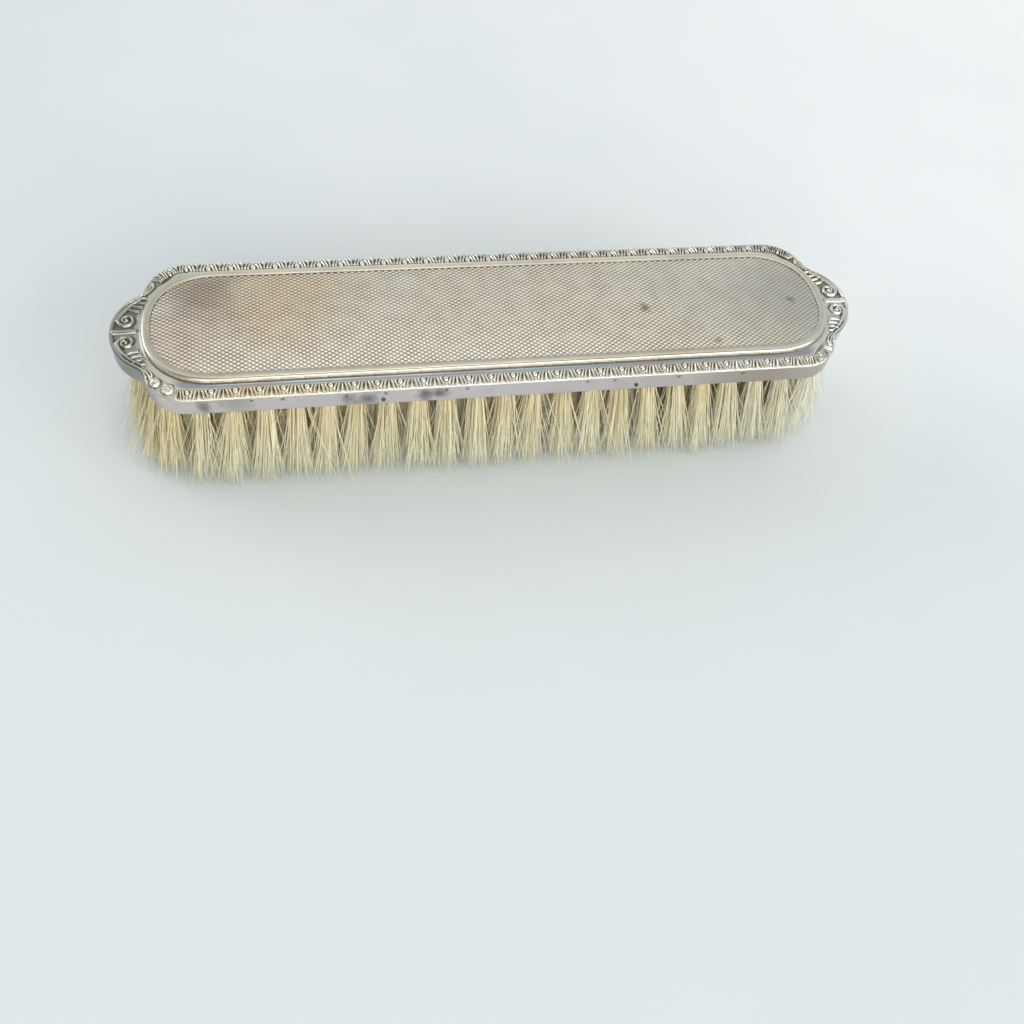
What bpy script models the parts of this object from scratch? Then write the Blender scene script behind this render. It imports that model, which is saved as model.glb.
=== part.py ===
"""A silver-backed dressing-table brush, standing on its bristles.

The origin is on the ground under the middle of the brush. +X runs along it and +Z is up, so
the bristle tips are at Z = 0 and the engine-turned silver back faces up. Metres throughout.
"""

from math import acos, atan2, cos, hypot, pi, sin

import bmesh
import bpy
from mathutils import Vector

MM = 0.001

# The outline of the back, seen from above: long straight sides, rounded corners, and at each
# end a round lobe that meets the corners in two concave necks.
HALF_LENGTH = 87.5 * MM
HALF_WIDTH = 20.5 * MM
CORNER_RADIUS = 9.8 * MM
CORNER_CENTRE_X = 70.5 * MM
LOBE_RADIUS = 12.3 * MM
NECK_RADIUS = 3.5 * MM

# The raised frame moulding round the engine-turned field: straight sides and squarish round ends.
FRAME_HALF_LENGTH = 80.6 * MM
FRAME_HALF_WIDTH = 16.5 * MM
FRAME_STRAIGHT_HALF = 63.7 * MM
FRAME_SQUARENESS = 2.3

# Heights above the ground.
SKIRT_BOTTOM_Z = 27.5 * MM
LIP_Z = 32.3 * MM
FRAME_TOP_Z = 34.0 * MM
FIELD_EDGE_Z = 33.85 * MM
FIELD_CROWN_Z = 34.5 * MM

# The stamped sheet, and the gap left between neighbouring pieces.
SHEET = 0.4 * MM
GAP = 0.3 * MM
BORDER_ROOF_Z = 31.9 * MM
FIELD_ROOF_Z = 33.4 * MM

# The wooden stock inside the back: drilled board, drawing wires, then the cover board.
BOARD_BOTTOM_Z = SKIRT_BOTTOM_Z + GAP
BOARD_TOP_Z = 30.1 * MM
WIRE_RADIUS = 0.2 * MM
WIRE_SIDES = 6
COVER_BOTTOM_Z = BOARD_TOP_Z + 2 * (WIRE_RADIUS + GAP) + 0.05 * MM
COVER_TOP_Z = BORDER_ROOF_Z - GAP

# Rows of tufts. From each edge to the middle the rows grow longer, by one tuft a row, to follow the
# lobes. Each tuft leaves its hole leaning outwards and widens towards its tip.
ROWS = 7
ROW_PITCH = 5.1 * MM
EDGE_ROW_TUFTS = 23
EDGE_ROW_REACH = 74.6 * MM
ROW_REACH_GAIN = 2.2 * MM
TUFT_TOP_Z = BOARD_TOP_Z - 0.1 * MM
TUFT_ROOT_RADIUS = 1.75 * MM
TUFT_TIP_RADIUS_X = 4.2 * MM
TUFT_TIP_RADIUS_Y = 3.1 * MM
TUFT_SIDES = 6
SPLAY_X = 1.06
SPLAY_Y = 1.15
HOLE_CLEARANCE = 0.35 * MM
CUT_PAST = 1.0 * MM

# Sprigs: small headless pins through the skirt into the edge of the board.
SPRIG_RADIUS = 0.5 * MM
SPRIG_LENGTH = 2.6 * MM
SPRIG_PROUD = 0.15 * MM
SPRIG_SIDES = 8
SPRIG_POINT = 0.6
SPRIG_Z = (BOARD_BOTTOM_Z + BOARD_TOP_Z) / 2
SPRIG_SIDE_X = 29.2 * MM

# Points along each stretch of a quarter of the outline.
CORNER_STEPS = 6
NECK_STEPS = 3
LOBE_STEPS = 5

# Colour, roughness and metallic value of each material.
SILVER = ("silver", (0.80, 0.77, 0.71), 0.22, 1.0)
SPRIG_SILVER = ("sprig_silver", (0.70, 0.68, 0.64), 0.35, 1.0)
STOCK_WOOD = ("stock_wood", (0.42, 0.27, 0.15), 0.6, 0.0)
COVER_WOOD = ("cover_wood", (0.50, 0.34, 0.20), 0.6, 0.0)
PITCH = ("pitch", (0.12, 0.08, 0.05), 0.7, 0.0)
BRISTLE = ("bristle", (0.80, 0.74, 0.55), 0.55, 0.0)
BRASS_WIRE = ("brass_wire", (0.75, 0.58, 0.28), 0.3, 1.0)


def clear_scene():
    for obj in list(bpy.data.objects):
        bpy.data.objects.remove(obj, do_unlink=True)


def material(name, colour, roughness, metallic):
    """The named Principled material, made on its first use."""
    found = bpy.data.materials.get(name)
    if found:
        return found
    made = bpy.data.materials.new(name)
    made.use_nodes = True
    shader = made.node_tree.nodes["Principled BSDF"]
    shader.inputs["Base Color"].default_value = (*colour, 1.0)
    shader.inputs["Roughness"].default_value = roughness
    shader.inputs["Metallic"].default_value = metallic
    return made


def add_object(name, bm, look, parent=None):
    """Turns a bmesh into a named object with its material, and frees the bmesh."""
    bmesh.ops.recalc_face_normals(bm, faces=bm.faces)
    mesh = bpy.data.meshes.new(name)
    bm.to_mesh(mesh)
    bm.free()
    obj = bpy.data.objects.new(name, mesh)
    bpy.context.scene.collection.objects.link(obj)
    obj.data.materials.append(material(*look))
    obj.parent = parent
    return obj


def make_helper(obj):
    """Marks an object as a cutter or a guide, which isn't a piece of the brush."""
    obj.hide_render = True
    obj.display_type = "WIRE"


def add_boolean(obj, other, operation):
    boolean = obj.modifiers.new(operation.lower(), "BOOLEAN")
    boolean.operation = operation
    boolean.solver = "EXACT"
    boolean.object = other


def smooth(obj, angle=0.6):
    obj.data.shade_smooth()
    obj.data.set_sharp_from_angle(angle=angle)


def arc(centre, radius, start, end, steps):
    """Points on an arc from one angle to another, both ends included."""
    angles = [start + (end - start) * i / steps for i in range(steps + 1)]
    return [(centre[0] + radius * cos(a), centre[1] + radius * sin(a)) for a in angles]


def whole_loop(quarter):
    """Mirrors a first-quadrant run of points, from the long side to the end, into a closed loop."""
    right = quarter + [(x, -y) for x, y in quarter[-2::-1]]
    return right + [(-x, y) for x, y in right[::-1]]


def neck_centre(corner, lobe):
    """Centre of the concave arc that touches the corner and the lobe from outside."""
    to_corner = CORNER_RADIUS + NECK_RADIUS
    to_lobe = LOBE_RADIUS + NECK_RADIUS
    apart = hypot(corner[0] - lobe[0], corner[1] - lobe[1])
    at_lobe = acos((to_lobe**2 + apart**2 - to_corner**2) / (2 * to_lobe * apart))
    heading = atan2(corner[1] - lobe[1], corner[0] - lobe[0]) - at_lobe
    return (lobe[0] + to_lobe * cos(heading), lobe[1] + to_lobe * sin(heading))


def back_outline(inset=0.0):
    """The outline of the back as a closed loop of (x, y), moved inwards by inset."""
    corner = (CORNER_CENTRE_X, HALF_WIDTH - CORNER_RADIUS)
    lobe = (HALF_LENGTH - LOBE_RADIUS, 0.0)
    neck = neck_centre(corner, lobe)
    corner_end = atan2(neck[1] - corner[1], neck[0] - corner[0])
    lobe_start = atan2(neck[1] - lobe[1], neck[0] - lobe[0])
    quarter = arc(corner, CORNER_RADIUS - inset, pi / 2, corner_end, CORNER_STEPS)
    quarter += arc(neck, NECK_RADIUS + inset, corner_end + pi, lobe_start + pi, NECK_STEPS)[1:]
    quarter += arc(lobe, LOBE_RADIUS - inset, lobe_start, 0.0, LOBE_STEPS)[1:]
    return whole_loop(quarter)


def frame_outline(inset=0.0):
    """The outer edge of the frame moulding, moved inwards by inset, with the same point count."""
    steps = CORNER_STEPS + NECK_STEPS + LOBE_STEPS
    power = 2 / FRAME_SQUARENESS
    reach = FRAME_HALF_LENGTH - inset - FRAME_STRAIGHT_HALF
    quarter = []
    for i in range(steps + 1):
        angle = pi / 2 * (1 - i / steps)
        x = FRAME_STRAIGHT_HALF + reach * max(cos(angle), 0.0) ** power
        y = (FRAME_HALF_WIDTH - inset) * max(sin(angle), 0.0) ** power
        quarter.append((x, y))
    return whole_loop(quarter)


def between(first, second, share):
    """A loop part of the way from one loop to another."""
    return [(a[0] + (b[0] - a[0]) * share, a[1] + (b[1] - a[1]) * share) for a, b in zip(first, second)]


def add_ring(bm, loop, z):
    return [bm.verts.new((x, y, z)) for x, y in loop]


def bridge(bm, lower, upper):
    count = len(lower)
    for i in range(count):
        j = (i + 1) % count
        bm.faces.new((lower[i], lower[j], upper[j], upper[i]))


def loft(bm, sections):
    """A closed solid through (loop, z) sections, capped at both ends."""
    rings = [add_ring(bm, loop, z) for loop, z in sections]
    for lower, upper in zip(rings, rings[1:]):
        bridge(bm, lower, upper)
    bm.faces.new(rings[0][::-1])
    bm.faces.new(rings[-1])
    return rings


def silver_back(parent):
    """The stamped sheet: field, frame moulding, cove, relief border, lip and skirt, open below."""
    lip = back_outline(0.3 * MM)
    cove = frame_outline(-0.7 * MM)
    outside = [
        (back_outline(), SKIRT_BOTTOM_Z),
        (back_outline(), LIP_Z - 0.4 * MM),
        (lip, LIP_Z),
        (between(lip, cove, 0.2), LIP_Z - 0.1 * MM),
        (between(lip, cove, 0.5), LIP_Z + 0.7 * MM),
        (cove, LIP_Z + 0.2 * MM),
        (frame_outline(-0.1 * MM), LIP_Z + 0.7 * MM),
        (frame_outline(0.1 * MM), FRAME_TOP_Z - 0.3 * MM),
        (frame_outline(0.5 * MM), FRAME_TOP_Z),
        (frame_outline(2.0 * MM), FRAME_TOP_Z),
        (frame_outline(2.1 * MM), FIELD_EDGE_Z),
        (frame_outline(7.0 * MM), FIELD_CROWN_Z - 0.1 * MM),
        (frame_outline(12.0 * MM), FIELD_CROWN_Z),
    ]
    inside = [
        (back_outline(SHEET), SKIRT_BOTTOM_Z),
        (back_outline(SHEET), BORDER_ROOF_Z),
        (frame_outline(0.5 * MM), BORDER_ROOF_Z),
        (frame_outline(0.5 * MM), FIELD_ROOF_Z),
    ]
    bm = bmesh.new()
    outer_rings = [add_ring(bm, loop, z) for loop, z in outside]
    inner_rings = [add_ring(bm, loop, z) for loop, z in inside]
    for rings in (outer_rings, inner_rings):
        for lower, upper in zip(rings, rings[1:]):
            bridge(bm, lower, upper)
        bm.faces.new(rings[-1])
    bridge(bm, inner_rings[0], outer_rings[0])
    back = add_object("silver_back", bm, SILVER, parent)
    smooth(back)
    return back


def slab(name, loop, bottom, top, look, parent):
    bm = bmesh.new()
    loft(bm, [(loop, bottom), (loop, top)])
    return add_object(name, bm, look, parent)


def tufts_in_row(row):
    """(x, y) of the holes of one row, counted from the front. Odd and even rows are staggered."""
    from_edge = min(row, ROWS - 1 - row)
    count = EDGE_ROW_TUFTS + from_edge
    reach = EDGE_ROW_REACH + from_edge * ROW_REACH_GAIN
    y = (row - (ROWS - 1) / 2) * ROW_PITCH
    return [(reach * (2 * i / (count - 1) - 1), y) for i in range(count)]


def tuft_section(hole, z, clearance=0.0):
    """The six-sided section of a tuft at height z, or of its hole with some clearance."""
    down = 1 - z / TUFT_TOP_Z
    x = hole[0] * (1 + (SPLAY_X - 1) * down)
    y = hole[1] * (1 + (SPLAY_Y - 1) * down)
    radius_x = TUFT_ROOT_RADIUS + (TUFT_TIP_RADIUS_X - TUFT_ROOT_RADIUS) * down + clearance
    radius_y = TUFT_ROOT_RADIUS + (TUFT_TIP_RADIUS_Y - TUFT_ROOT_RADIUS) * down + clearance
    angles = [2 * pi * i / TUFT_SIDES for i in range(TUFT_SIDES)]
    return [(x + radius_x * cos(a), y + radius_y * sin(a)) for a in angles]


def tuft_group(name, holes, parent):
    """One object that holds the tufts of several holes."""
    bm = bmesh.new()
    for hole in holes:
        loft(bm, [(tuft_section(hole, z), z) for z in (0.0, TUFT_TOP_Z)])
    return add_object(name, bm, BRISTLE, parent)


def tuft_row(row, parent):
    """A row of tufts, which grow into each other near the tips and so are one solid."""
    holes = tufts_in_row(row)
    tufts = tuft_group(f"tuft_row_{row + 1}", holes[0::2], parent)
    others = tuft_group(f"other_tufts_{row + 1}", holes[1::2], parent)
    make_helper(others)
    add_boolean(tufts, others, "UNION")


def hole_cutter(parent):
    bm = bmesh.new()
    for row in range(ROWS):
        for hole in tufts_in_row(row):
            ends = (BOARD_BOTTOM_Z - CUT_PAST, BOARD_TOP_Z + CUT_PAST)
            loft(bm, [(tuft_section(hole, z, HOLE_CLEARANCE), z) for z in ends])
    cutter = add_object("hole_cutter", bm, STOCK_WOOD, parent)
    make_helper(cutter)
    return cutter


def sprig_places():
    """(name, point on the skirt, direction into the wood) of each sprig."""
    places = []
    for side, inwards in (("front", 1), ("rear", -1)):
        for end, sign in (("left", -1), ("right", 1)):
            point = Vector((sign * SPRIG_SIDE_X, -inwards * HALF_WIDTH, SPRIG_Z))
            places.append((f"sprig_{side}_{end}", point, Vector((0, inwards, 0))))
    for end, sign in (("left", -1), ("right", 1)):
        point = Vector((sign * HALF_LENGTH, 0, SPRIG_Z))
        places.append((f"sprig_{end}_end", point, Vector((-sign, 0, 0))))
    return places


def add_rod(bm, start, direction, length, radius, end_radius):
    """A round rod from start along direction, which may taper to another radius."""
    made = bmesh.ops.create_cone(
        bm,
        cap_ends=True,
        segments=SPRIG_SIDES,
        radius1=radius,
        radius2=end_radius,
        depth=length,
    )
    turn = direction.to_track_quat("Z", "Y")
    bmesh.ops.rotate(bm, verts=made["verts"], cent=(0, 0, 0), matrix=turn.to_matrix())
    bmesh.ops.translate(bm, verts=made["verts"], vec=start + direction * length / 2)


def sprig_cutter(parent):
    bm = bmesh.new()
    for _, point, direction in sprig_places():
        length = SPRIG_LENGTH + CUT_PAST + GAP
        add_rod(bm, point - direction * CUT_PAST, direction, length, SPRIG_RADIUS + GAP, SPRIG_RADIUS + GAP)
    cutter = add_object("sprig_cutter", bm, STOCK_WOOD, parent)
    make_helper(cutter)
    return cutter


def add_sprigs(parent):
    for name, point, direction in sprig_places():
        bm = bmesh.new()
        start = point - direction * SPRIG_PROUD
        add_rod(bm, start, direction, SPRIG_LENGTH, SPRIG_RADIUS, SPRIG_RADIUS * SPRIG_POINT)
        smooth(add_object(name, bm, SPRIG_SILVER, parent))


def drawing_wire(row, parent):
    """The wire that holds a row of tufts in the board, lying along the row behind it."""
    holes = tufts_in_row(row)
    start = Vector((holes[0][0] - TUFT_ROOT_RADIUS, holes[0][1], BOARD_TOP_Z + GAP + WIRE_RADIUS))
    length = holes[-1][0] - holes[0][0] + 2 * TUFT_ROOT_RADIUS
    bm = bmesh.new()
    made = bmesh.ops.create_cone(
        bm, cap_ends=True, segments=WIRE_SIDES, radius1=WIRE_RADIUS, radius2=WIRE_RADIUS, depth=length
    )
    turn = Vector((1, 0, 0)).to_track_quat("Z", "Y")
    bmesh.ops.rotate(bm, verts=made["verts"], cent=(0, 0, 0), matrix=turn.to_matrix())
    bmesh.ops.translate(bm, verts=made["verts"], vec=start + Vector((length / 2, 0, 0)))
    smooth(add_object(f"drawing_wire_{row + 1}", bm, BRASS_WIRE, parent))


def main():
    clear_scene()
    brush = bpy.data.objects.new("brush", None)
    bpy.context.scene.collection.objects.link(brush)

    inside_loop = back_outline(SHEET + GAP)
    sprig_holes = sprig_cutter(brush)
    back = silver_back(brush)
    add_boolean(back, sprig_holes, "DIFFERENCE")
    board = slab("bristle_board", inside_loop, BOARD_BOTTOM_Z, BOARD_TOP_Z, STOCK_WOOD, brush)
    add_boolean(board, hole_cutter(brush), "DIFFERENCE")
    add_boolean(board, sprig_holes, "DIFFERENCE")
    slab("cover_board", inside_loop, COVER_BOTTOM_Z, COVER_TOP_Z, COVER_WOOD, brush)
    filler_loop = frame_outline(0.5 * MM + GAP)
    slab("pitch_filling", filler_loop, COVER_TOP_Z + GAP, FIELD_ROOF_Z - GAP, PITCH, brush)
    add_sprigs(brush)
    for row in range(ROWS):
        tuft_row(row, brush)
        drawing_wire(row, brush)


main()
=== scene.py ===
"""The looks of a silver-backed dressing-table brush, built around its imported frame.

Shapes are worked out in millimetres, with +X along the brush and +Z up, and become metres when a
mesh is made. The back is mirror-symmetric, so its relief is worked out for one quarter.
"""

from math import acos, atan2, cos, hypot, pi, radians, sin

import bpy
import numpy as np
from mathutils import Matrix, Vector


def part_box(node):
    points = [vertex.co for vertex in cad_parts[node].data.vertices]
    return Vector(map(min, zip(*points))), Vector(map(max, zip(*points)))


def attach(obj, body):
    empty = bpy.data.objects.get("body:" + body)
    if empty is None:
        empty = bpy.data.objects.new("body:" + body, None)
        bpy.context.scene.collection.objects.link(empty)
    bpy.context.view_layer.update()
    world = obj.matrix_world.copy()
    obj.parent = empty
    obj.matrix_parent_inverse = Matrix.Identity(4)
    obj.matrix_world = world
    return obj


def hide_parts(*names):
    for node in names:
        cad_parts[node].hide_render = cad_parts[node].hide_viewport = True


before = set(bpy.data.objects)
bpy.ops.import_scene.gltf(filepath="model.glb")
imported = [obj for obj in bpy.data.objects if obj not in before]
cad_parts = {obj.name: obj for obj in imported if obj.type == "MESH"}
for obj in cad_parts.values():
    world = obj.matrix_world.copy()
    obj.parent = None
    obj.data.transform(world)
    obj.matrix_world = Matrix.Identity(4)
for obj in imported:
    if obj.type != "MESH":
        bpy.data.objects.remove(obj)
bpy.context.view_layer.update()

MM = 0.001


def cad_box(node):
    """Lowest and highest corner of a CAD node, in millimetres."""
    low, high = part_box(node)
    return low / MM, high / MM


BACK_LOW, BACK_HIGH = cad_box("silver_back")
BOARD_BOTTOM_Z = cad_box("bristle_board")[0].z

# The outline of the back, as the frame has it.
HALF_LENGTH = BACK_HIGH.x
HALF_WIDTH = BACK_HIGH.y
CORNER_SETBACK = 17.0
CORNER_RADIUS = 9.8
CORNER_CENTRE = (HALF_LENGTH - CORNER_SETBACK, HALF_WIDTH - CORNER_RADIUS)
LOBE_RADIUS = 12.3
LOBE_CENTRE = (HALF_LENGTH - LOBE_RADIUS, 0.0)
NECK_RADIUS = 3.5

# The frame moulding's outer edge: straight sides and superellipse ends.
FRAME_END_GAP = 6.9
FRAME_SIDE_GAP = 4.0
FRAME_REACH = 16.9
FRAME_STRAIGHT_HALF = HALF_LENGTH - FRAME_END_GAP - FRAME_REACH
FRAME_HALF_WIDTH = HALF_WIDTH - FRAME_SIDE_GAP
FRAME_SQUARENESS = 2.3
FRAME_FLAT = 2.0
FRAME_ROUND = 0.7

# Heights.
SKIRT_HEIGHT = 4.8
FIELD_CAMBER = 0.65
FRAME_DROP = 0.5
LIP_ROUND = 0.3
SHEET = 0.4
SKIRT_BOTTOM_Z = BACK_LOW.z
FIELD_CROWN_Z = BACK_HIGH.z
FIELD_EDGE_Z = FIELD_CROWN_Z - FIELD_CAMBER
FRAME_TOP_Z = FIELD_CROWN_Z - FRAME_DROP
PLATE_FLOOR_Z = FRAME_TOP_Z - 0.6
LIP_Z = SKIRT_BOTTOM_Z + SKIRT_HEIGHT
ROOF_Z = LIP_Z - LIP_ROUND

# Engine turning: a staggered lattice of lozenge grains.
GRAIN_LENGTH = 1.577
GRAIN_WIDTH = 1.056
GRAIN_HEIGHT = 0.13
GRAIN_CUTS = 4

# The relief border, from the outline inwards: the lip, the ornamented band and the cove. The steps
# are its mesh's spacing along a side and round an end.
SIDE_STEP = 0.125
END_STEP = 0.12
LIP_ROWS = 6
BORDER_ROWS = 34
LIP_WIDTH = 0.5
BAND_WIDTH = 2.7
END_COVE_WIDTH = 1.3
COVE_HEIGHT = 0.22
SIDE_RELIEF = 0.6
END_RELIEF = 0.66
BAND_FOOT_Z = LIP_Z - 0.12
# The rear's recesses are darkened further by this factor: painted shade on top of the patina.
REAR_PATINA_AND_SHADE = 1.5
# The cove's painted floor reflection is scaled by this at the rear.
REAR_COVE_REFLECTION = 0.3

# The side ornament: an egg on a stem, two flutes beside it and a dart between eggs. Each flute has
# its distance from the egg's middle at its foot and at its top.
EGG_PERIOD = 5.07
EGG_DEPTH = 2.08
EGG_HALF_WIDTH = 0.62
EGG_HALF_LENGTH = 0.78
FAN_FOOT = 0.42
FAN_TOP = EGG_DEPTH + 0.3
FLUTES = ((0.62, 1.16), (1.28, 1.86))
EGGS_TO_LEAF = 15.9
EGGS_TO_STUDS = 14.6

# Tufts, as the frame has them. HAIRS is the number in one tuft, by rows from the edge inwards.
ROWS = 7
EDGE_ROW_TUFTS = 23
TUFT_TIP_RADIUS = (4.2, 3.1)
TUFT_ROOT_RADIUS = 1.75
SPLAY = (1.06, 1.15)
ROOT_SHIFT = -0.6
TIP_SHIFT = 0.5
EDGE_LEAN = 1.3
CORNER_DRAW = 3.6
CORNER_FADE = 4.0
HAIRS = (145, 188, 130, 95)
HAIR_SEGMENTS = 7
HAIR_SIDES = 3
HAIR_RADIUS = 0.11
WILD_SHARE = 0.22
WILD_SPREAD = (3.3, 2.0)
SHORT_SHARE = 0.15
STRAYS = 46
STRAY_RADIUS = 0.035


# ---- The outline of the back and the edge of the frame ----


def neck_centre():
    """Centre of the concave arc that touches the corner arc and the lobe arc from outside."""
    to_corner = CORNER_RADIUS + NECK_RADIUS
    to_lobe = LOBE_RADIUS + NECK_RADIUS
    gap_x = CORNER_CENTRE[0] - LOBE_CENTRE[0]
    gap_y = CORNER_CENTRE[1] - LOBE_CENTRE[1]
    apart = hypot(gap_x, gap_y)
    at_lobe = acos((to_lobe**2 + apart**2 - to_corner**2) / (2 * to_lobe * apart))
    heading = atan2(gap_y, gap_x) - at_lobe
    return (LOBE_CENTRE[0] + to_lobe * cos(heading), LOBE_CENTRE[1] + to_lobe * sin(heading))


def arc_run(centre, radius, start, end, step, inwards):
    """Points and inward normals along an arc, both ends included. inwards is 1 if they face the centre."""
    count = max(2, round(abs(end - start) * radius / step))
    angle = np.linspace(start, end, count + 1)
    ray = np.column_stack((np.cos(angle), np.sin(angle)))
    return np.array(centre) + radius * ray, -inwards * ray


def outline_quarter(side_step, end_step):
    """Points, inward normals and arc lengths of the outline, from the middle of a side to an end."""
    neck = neck_centre()
    corner_end = atan2(neck[1] - CORNER_CENTRE[1], neck[0] - CORNER_CENTRE[0])
    lobe_start = atan2(neck[1] - LOBE_CENTRE[1], neck[0] - LOBE_CENTRE[0])
    count = round(CORNER_CENTRE[0] / side_step)
    x = np.linspace(0, CORNER_CENTRE[0], count + 1)
    straight = np.column_stack((x, np.full_like(x, HALF_WIDTH)))
    runs = [
        (straight, np.tile((0.0, -1.0), (count + 1, 1))),
        arc_run(CORNER_CENTRE, CORNER_RADIUS, pi / 2, corner_end, end_step, 1),
        arc_run(neck, NECK_RADIUS, corner_end + pi, lobe_start + pi, end_step, -1),
        arc_run(LOBE_CENTRE, LOBE_RADIUS, lobe_start, 0.0, end_step, 1),
    ]
    points = np.vstack([runs[0][0]] + [run[0][1:] for run in runs[1:]])
    normals = np.vstack([runs[0][1]] + [run[1][1:] for run in runs[1:]])
    steps = np.linalg.norm(np.diff(points, axis=0), axis=1)
    return points, normals, np.concatenate(([0.0], np.cumsum(steps)))


def frame_norm(x, y, inset=0.0):
    """1 on the frame's outer edge moved inwards by inset, less inside it and more outside."""
    along = np.clip(np.abs(x) - FRAME_STRAIGHT_HALF, 0, None) / (FRAME_REACH - inset)
    across = np.abs(y) / (FRAME_HALF_WIDTH - inset)
    return (along**FRAME_SQUARENESS + across**FRAME_SQUARENESS) ** (1 / FRAME_SQUARENESS)


def depth_to_frame(points, normals, inset):
    """How far each inward normal runs from the outline to the frame's edge."""
    near = np.zeros(len(points))
    far = np.full(len(points), 9.0)
    for _ in range(40):
        middle = (near + far) / 2
        reached = points + normals * middle[:, None]
        outside = frame_norm(reached[:, 0], reached[:, 1], inset) > 1
        near = np.where(outside, middle, near)
        far = np.where(outside, far, middle)
    return (near + far) / 2


def frame_quarter(inset, steps):
    """Points of the frame's edge moved inwards, from the middle of a side to an end."""
    angle = np.linspace(pi / 2, 0, steps + 1)
    power = 2 / FRAME_SQUARENESS
    x = FRAME_STRAIGHT_HALF + (FRAME_REACH - inset) * np.clip(np.cos(angle), 0, None) ** power
    y = (FRAME_HALF_WIDTH - inset) * np.clip(np.sin(angle), 0, None) ** power
    straight = np.linspace(0, FRAME_STRAIGHT_HALF, 60)[:-1]
    side = np.column_stack((straight, np.full_like(straight, FRAME_HALF_WIDTH - inset)))
    return np.vstack((side, np.column_stack((x, y))))


# ---- Meshes ----


def add_piece(name, points, faces, look, replaced=(), sharp=None, values=None):
    """A mesh piece of the brush from points in millimetres, riding on the one body."""
    mesh = bpy.data.meshes.new(name)
    mesh.from_pydata((np.asarray(points) * MM).tolist(), [], faces)
    mesh.update()
    mesh.shade_smooth()
    if sharp:
        mesh.set_sharp_from_angle(angle=radians(sharp))
    for attribute, numbers in (values or {}).items():
        layer = mesh.attributes.new(attribute, "FLOAT", "POINT")
        layer.data.foreach_set("value", np.asarray(numbers, np.float32).ravel())
    obj = bpy.data.objects.new(name, mesh)
    bpy.context.scene.collection.objects.link(obj)
    mesh.materials.append(look)
    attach(obj, "root")
    if replaced:
        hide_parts(*replaced)
    return obj


def whole_ring(quarter, flip=(1, 1)):
    """Repeats values of a quarter's stations round the whole loop. flip holds the signs for vectors."""
    right = np.concatenate((quarter, mirrored(quarter, (1, flip[1]))[-2::-1]))
    return np.concatenate((right, mirrored(right, (flip[0], 1))[-2:0:-1]))


def mirrored(values, signs):
    """Values with the first two numbers of their last axis multiplied by signs, if they are vectors."""
    if signs == (1, 1):
        return values
    changed = values.copy()
    changed[..., 0] *= signs[0]
    changed[..., 1] *= signs[1]
    return changed


def tube_faces(stations, rows):
    """Quads of a grid that closes on itself both ways, such as a ring of closed sections."""
    i = np.arange(stations)[:, None]
    k = np.arange(rows)[None, :]
    next_i = (i + 1) % stations
    next_k = (k + 1) % rows
    quads = np.stack((i * rows + k, i * rows + next_k, next_i * rows + next_k, next_i * rows + k), -1)
    return quads.reshape(-1, 4).tolist()


def add_ring(name, sections, look, replaced=(), sharp=None, values=None):
    """A closed ring from quarter sections, an array of (station, row, xyz)."""
    ring = whole_ring(sections, (-1, -1))
    stations, rows, _ = ring.shape
    values = {key: whole_ring(value) for key, value in (values or {}).items()}
    faces = tube_faces(stations, rows)
    return add_piece(name, ring.reshape(-1, 3), faces, look, replaced, sharp, values)


def ripple(points, size, height, seed):
    """A gentle unevenness at each point: a few plane waves of random heading about a given length."""
    rng = np.random.default_rng(seed)
    total = np.zeros(points.shape[:-1])
    for _ in range(9):
        heading = rng.normal(size=3)
        heading /= np.linalg.norm(heading)
        length = size * rng.uniform(0.6, 1.6)
        total += np.sin(points @ heading * (2 * pi / length) + rng.uniform(0, 2 * pi))
    return total * height / 3


# ---- Relief of the border ----


def dome(distance, radius):
    """The height of a round boss or ridge at a distance from its middle, as a share of its height."""
    return np.sqrt(np.clip(1 - (distance / radius) ** 2, 0, None))


def ridge(x, y, path, widths):
    """The height share of a rounded ridge along a path of points, each with its half width."""
    path = np.asarray(path, float)
    widths = np.broadcast_to(np.asarray(widths, float), (len(path),))
    height = np.zeros_like(x)
    for start, end, width_a, width_b in zip(path, path[1:], widths, widths[1:]):
        run = end - start
        length_sq = max(run @ run, 1e-9)
        share = np.clip(((x - start[0]) * run[0] + (y - start[1]) * run[1]) / length_sq, 0, 1)
        off = np.hypot(x - start[0] - share * run[0], y - start[1] - share * run[1])
        height = np.maximum(height, dome(off, width_a + (width_b - width_a) * share))
    return height


def smooth_path(points, count=24):
    """A smooth curve through given points (Catmull-Rom)."""
    points = np.asarray(points, float)
    padded = np.vstack((2 * points[0] - points[1], points, 2 * points[-1] - points[-2]))
    position = np.linspace(0, len(points) - 1, count)
    index = np.minimum(position.astype(int), len(points) - 2)
    t = (position - index)[:, None]
    a, b, c, d = (padded[index + k] for k in range(4))
    bend = 2 * a - 5 * b + 4 * c - d
    twist = 3 * b - a - 3 * c + d
    return 0.5 * (2 * b + (c - a) * t + bend * t**2 + twist * t**3)


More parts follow.
